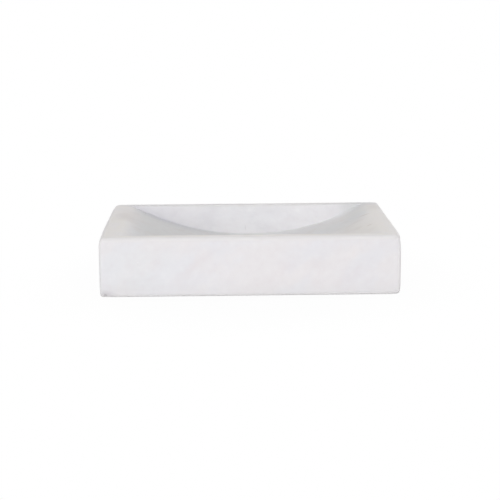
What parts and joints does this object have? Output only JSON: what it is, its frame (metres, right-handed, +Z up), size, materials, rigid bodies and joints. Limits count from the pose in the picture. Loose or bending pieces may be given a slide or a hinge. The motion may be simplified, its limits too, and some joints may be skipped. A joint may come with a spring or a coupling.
{
  "type": "soap dish",
  "caption": "Rectangular white marble soap dish: a solid block with an arc-shaped trough between thin end walls, standing on small stuck-on anti-slip pads.",
  "frame": {"origin": "on the surface the dish stands on, under the middle of its box", "axes": "+X along the dish to the right, +Y to the back, +Z up"},
  "size_m": [0.12, 0.085, 0.0256],
  "materials": {
    "marble": "honed white marble with faint veins",
    "pad_rubber": "matte milky silicone rubber",
    "pad_adhesive": "thin acrylic adhesive film"
  },
  "bodies": {
    "root": {"marble_block": "marble", "foot_pad_front_left": "pad_rubber", "foot_pad_front_right": "pad_rubber", "foot_pad_back_left": "pad_rubber", "foot_pad_back_right": "pad_rubber", "pad_adhesive_front_left": "pad_adhesive", "pad_adhesive_front_right": "pad_adhesive", "pad_adhesive_back_left": "pad_adhesive", "pad_adhesive_back_right": "pad_adhesive"}
  },
  "joints": []
}
